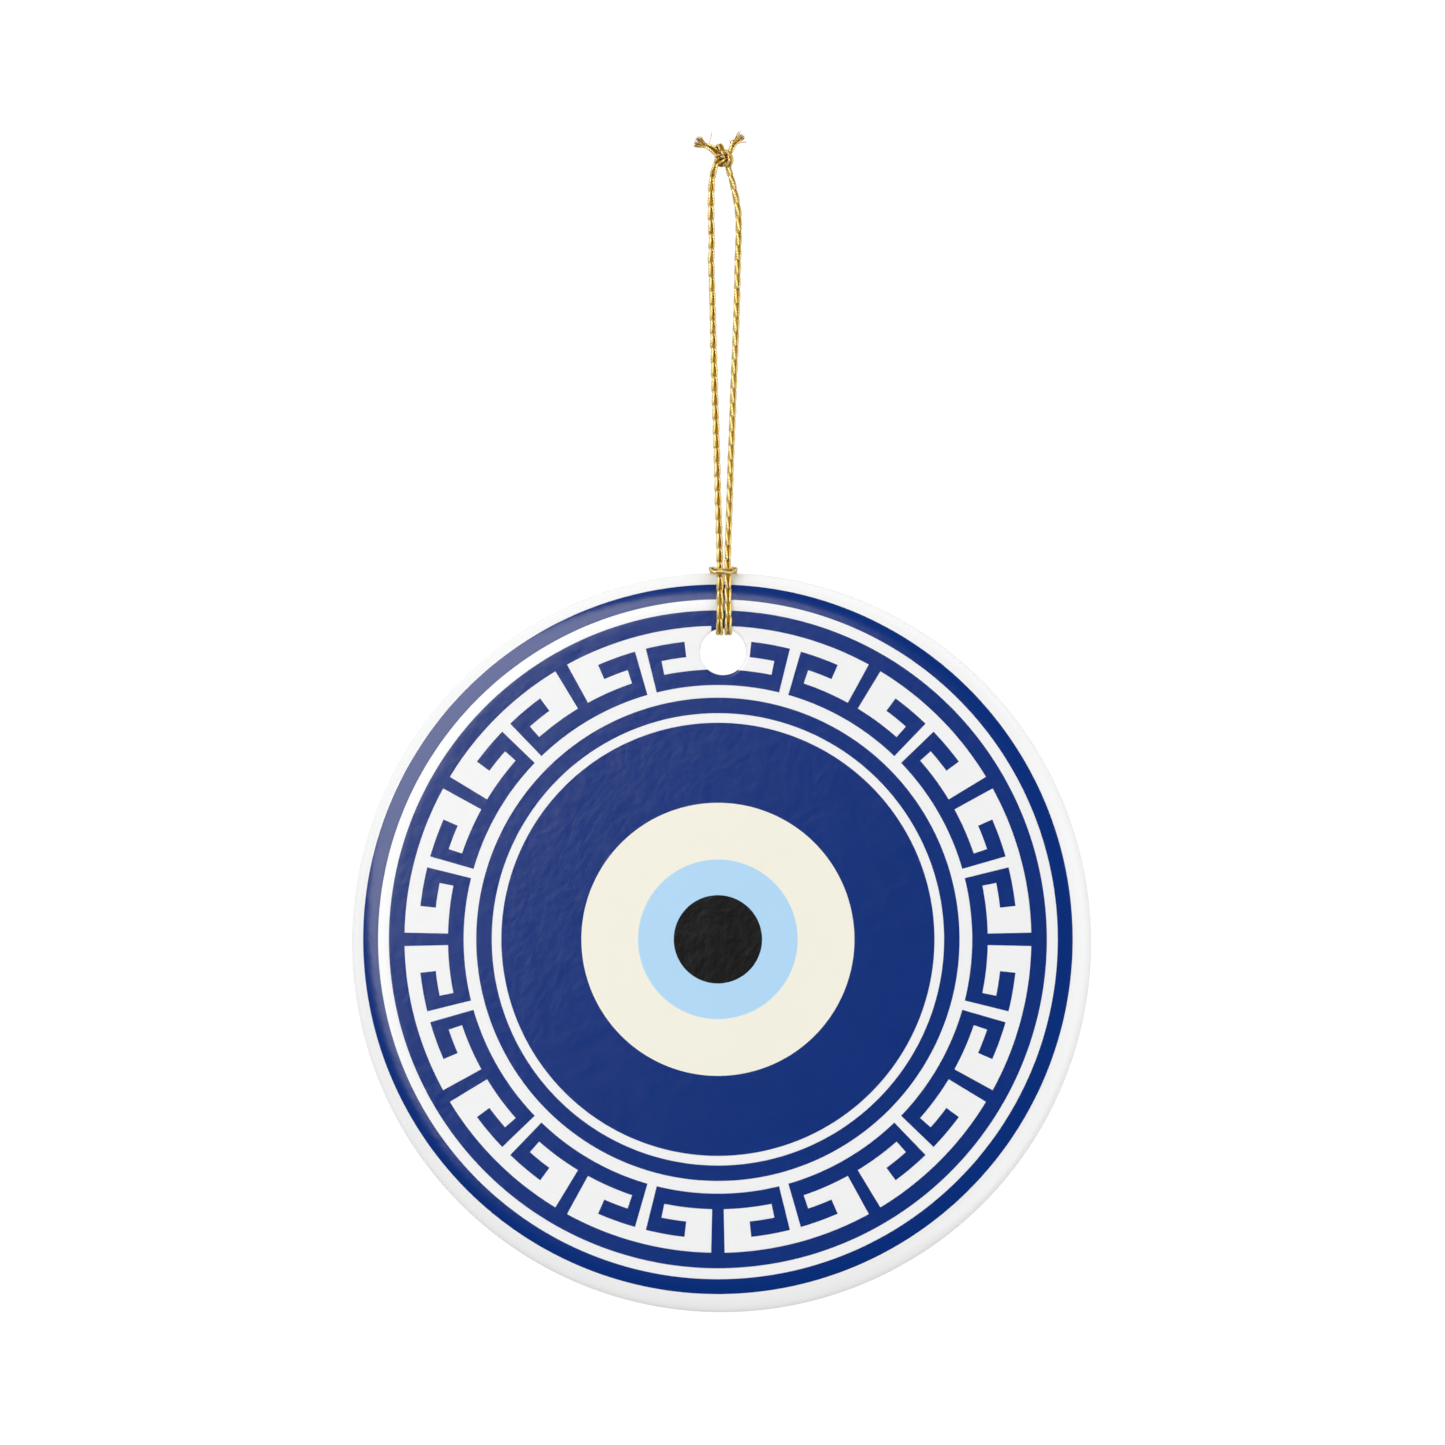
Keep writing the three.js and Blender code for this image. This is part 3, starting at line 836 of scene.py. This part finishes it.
class Nodes:
    def __init__(self, name):
        self.mat = bpy.data.materials.new(name)
        self.mat.use_nodes = True
        self.tree = self.mat.node_tree
        self.bsdf = self.tree.nodes["Principled BSDF"]
        self.coord = self.tree.nodes.new("ShaderNodeTexCoord")

    def node(self, kind, **values):
        n = self.tree.nodes.new(kind)
        for k, v in values.items():
            if k in n.inputs:
                n.inputs[k].default_value = v
            else:
                setattr(n, k, v)
        return n

    def link(self, a, b):
        self.tree.links.new(a, b)

    def noise(self, scale, detail=2.0, rough=0.5, distortion=0.0, vector=None):
        n = self.node("ShaderNodeTexNoise", Scale=scale, Detail=detail, Roughness=rough, Distortion=distortion)
        self.link(vector if vector is not None else self.coord.outputs["Object"], n.inputs["Vector"])
        return n.outputs["Fac"]

    def ramp(self, value, low, high, start=0.3, end=0.7):
        r = self.tree.nodes.new("ShaderNodeValToRGB")
        r.color_ramp.elements[0].position, r.color_ramp.elements[0].color = start, low
        r.color_ramp.elements[1].position, r.color_ramp.elements[1].color = end, high
        self.link(value, r.inputs["Fac"])
        return r.outputs["Color"]

    def span(self, value, low, high, start=0.3, end=0.7):
        m = self.node("ShaderNodeMapRange")
        m.inputs["From Min"].default_value, m.inputs["From Max"].default_value = start, end
        m.inputs["To Min"].default_value, m.inputs["To Max"].default_value = low, high
        self.link(value, m.inputs["Value"])
        return m.outputs["Result"]

    def bump(self, *layers):
        """Bump from (height, strength, distance in metres) layers."""
        last = None
        for height, strength, distance in layers:
            b = self.node("ShaderNodeBump", Strength=strength, Distance=distance)
            self.link(height, b.inputs["Height"])
            if last is not None:
                self.link(last, b.inputs["Normal"])
            last = b.outputs["Normal"]
        self.link(last, self.bsdf.inputs["Normal"])


def scaled(c, k):
    return tuple(min(1.0, x * k) for x in c[:3]) + (1.0,)


def glaze(name, colour, spread, rough_low, rough_high, peel=0.22):
    m = Nodes(name)
    cloud = m.noise(140.0, 3.0, 0.55)
    m.link(m.ramp(cloud, scaled(colour, 1 - spread), scaled(colour, 1 + spread)), m.bsdf.inputs["Base Color"])
    m.link(m.span(m.noise(420.0, 2.0), rough_low, rough_high), m.bsdf.inputs["Roughness"])
    m.bump((m.noise(1500.0, 2.0, 0.5), peel, 0.00004), (m.noise(430.0, 1.0, 0.5), peel * 0.8, 0.00008))
    m.bsdf.inputs["IOR"].default_value = 1.5
    return m.mat


WHITE = (0.955, 0.957, 0.960, 1)
BLUE = (0.0010, 0.0276, 0.2040, 1)
body.data.materials.append(glaze("white_glaze", WHITE, 0.004, 0.16, 0.175))
inks = {
    "print_pupil": ((0.0020, 0.0020, 0.0020, 1), 0.1),
    "print_iris": ((0.474, 0.742, 0.985, 1), 0.006),
    "print_cream": ((0.966, 0.940, 0.811, 1), 0.006),
    "print_field": (BLUE, 0.03),
    "print_ring_inner": (BLUE, 0.03),
    "print_key_border": (BLUE, 0.03),
    "print_ring_outer": (BLUE, 0.03),
}
for name, (colour, spread) in inks.items():
    prints[name].data.materials.append(glaze(name + "_ink", colour, spread, 0.16, 0.175))


def metallic(name, light, dark, painted_shade_colour=None):
    m = Nodes(name)
    m.bsdf.inputs["Metallic"].default_value = 1.0
    m.bsdf.inputs["IOR"].default_value = 1.5
    streak = m.node("ShaderNodeMapping")
    streak.inputs["Scale"].default_value = (1.0, 1.0, 0.45)
    m.link(m.coord.outputs["Object"], streak.inputs["Vector"])
    fine = m.noise(9000.0, 3.0, 0.6, 0.4, streak.outputs["Vector"])
    broad = m.noise(1300.0, 2.0, 0.5)
    mix = m.node("ShaderNodeMix", data_type="RGBA")
    mix.inputs["Factor"].default_value = 0.45
    m.link(m.ramp(fine, dark, light, 0.28, 0.62), mix.inputs["A"])
    m.link(m.ramp(broad, dark, light, 0.25, 0.6), mix.inputs["B"])
    m.link(mix.outputs["Result"], m.bsdf.inputs["Base Color"])
    # Painted shade: where the depth value is low, in the cord's crevices and where strands cross, the colour is mixed
    # towards the dark shade colour.
    if painted_shade_colour is not None:
        inside = m.node("ShaderNodeAttribute", attribute_name="depth")
        deep = m.node("ShaderNodeMix", data_type="RGBA")
        m.link(m.span(inside.outputs["Fac"], 0.0, 1.0, 0.05, 0.95), deep.inputs["Factor"])
        deep.inputs["A"].default_value = painted_shade_colour
        m.link(mix.outputs["Result"], deep.inputs["B"])
        m.link(deep.outputs["Result"], m.bsdf.inputs["Base Color"])
    m.link(m.span(fine, 0.22, 0.42), m.bsdf.inputs["Roughness"])
    m.bump((fine, 0.35, 0.00002))
    return m.mat


# The third colour is the dark painted shade for the cord's crevices and crossings.
gold = metallic("gold_lurex", (1.0, 0.86, 0.42, 1), (0.93, 0.62, 0.075, 1), (0.40, 0.19, 0.003, 1))
for ob in gold_pieces:
    ob.data.materials.append(gold)
stray_ob.data.materials.append(metallic("pale_filament", (0.62, 0.54, 0.40, 1), (0.45, 0.38, 0.25, 1)))

# ------------------------------------------------------------ studio
world = bpy.data.worlds.new("studio")
scene.world = world
world.use_nodes = True
wt = world.node_tree
wt.nodes.clear()
W = lambda kind: wt.nodes.new(kind)
out, back = W("ShaderNodeOutputWorld"), W("ShaderNodeBackground")
room, mixer, path = W("ShaderNodeBackground"), W("ShaderNodeMixShader"), W("ShaderNodeLightPath")
back.inputs["Color"].default_value, back.inputs["Strength"].default_value = (1, 1, 1, 1), 1.02
coord, split, depth = W("ShaderNodeTexCoord"), W("ShaderNodeSeparateXYZ"), W("ShaderNodeMapRange")
wt.links.new(coord.outputs["Generated"], split.inputs["Vector"])
wt.links.new(split.outputs["Y"], depth.inputs["Value"])
depth.interpolation_type = "SMOOTHSTEP"
depth.inputs["From Min"].default_value, depth.inputs["From Max"].default_value = -0.95, -0.35
depth.inputs["To Min"].default_value, depth.inputs["To Max"].default_value = 0.04, 1.10
height, both = W("ShaderNodeMapRange"), W("ShaderNodeMath")
wt.links.new(split.outputs["Z"], height.inputs["Value"])
height.inputs["From Min"].default_value, height.inputs["From Max"].default_value = -1.0, 1.0
height.inputs["To Min"].default_value, height.inputs["To Max"].default_value = 0.68, 1.08
both.operation = "MULTIPLY"
wt.links.new(depth.outputs["Result"], both.inputs[0])
wt.links.new(height.outputs["Result"], both.inputs[1])
wt.links.new(both.outputs["Value"], room.inputs["Strength"])
wt.links.new(path.outputs["Is Camera Ray"], mixer.inputs["Fac"])
wt.links.new(room.outputs["Background"], mixer.inputs[1])
wt.links.new(back.outputs["Background"], mixer.inputs[2])
wt.links.new(mixer.outputs["Shader"], out.inputs["Surface"])


def softbox(name, off, azimuth, distance, radial, across, power, centre=(0, 0, -0.0734)):
    """An area light off the viewing axis by off degrees, towards azimuth in the picture plane."""
    o, a = math.radians(off), math.radians(azimuth)
    d = Vector((math.sin(o) * math.cos(a), -math.cos(o), math.sin(o) * math.sin(a)))
    x = Vector((math.cos(o) * math.cos(a), math.sin(o), math.cos(o) * math.sin(a)))
    light = bpy.data.lights.new(name, "AREA")
    light.shape, light.size, light.size_y, light.energy = "RECTANGLE", radial, across, power
    ob = bpy.data.objects.new(name, light)
    scene.collection.objects.link(ob)
    turned = Matrix((x, d.cross(x), d)).transposed().to_4x4()
    turned.translation = Vector(centre) + d * distance
    ob.matrix_world = turned
    return ob


softbox("key_softbox", 29, 144, 1.6, 0.92, 0.86, 9.9)
softbox("key_softbox_edge", 8.3, 144, 1.6, 0.29, 0.84, 2.3)
softbox("fill_right", 46, -15, 1.6, 1.2, 1.8, 8.6)
softbox("left_strip", 74, 180, 1.6, 0.30, 2.0, 1.6)

floor = mesh_object("floor", [(440 * math.cos(a), 440 * math.sin(a), -165) for a in np.linspace(0, 2 * math.pi, 96, endpoint=False)],
                    [tuple(range(96))], smooth=False)
fm = Nodes("pale_floor")
fm.link(fm.ramp(fm.noise(6.0), (0.93, 0.93, 0.93, 1), (0.95, 0.95, 0.95, 1)), fm.bsdf.inputs["Base Color"])
fm.bsdf.inputs["Roughness"].default_value = 0.8
fm.bsdf.inputs["Emission Color"].default_value = (1, 1, 1, 1)
fm.bsdf.inputs["Emission Strength"].default_value = 0.9
floor.data.materials.append(fm.mat)
floor.visible_diffuse = floor.visible_glossy = floor.visible_transmission = floor.visible_shadow = False

scene.view_settings.view_transform = "Standard"
scene.view_settings.look = "None"
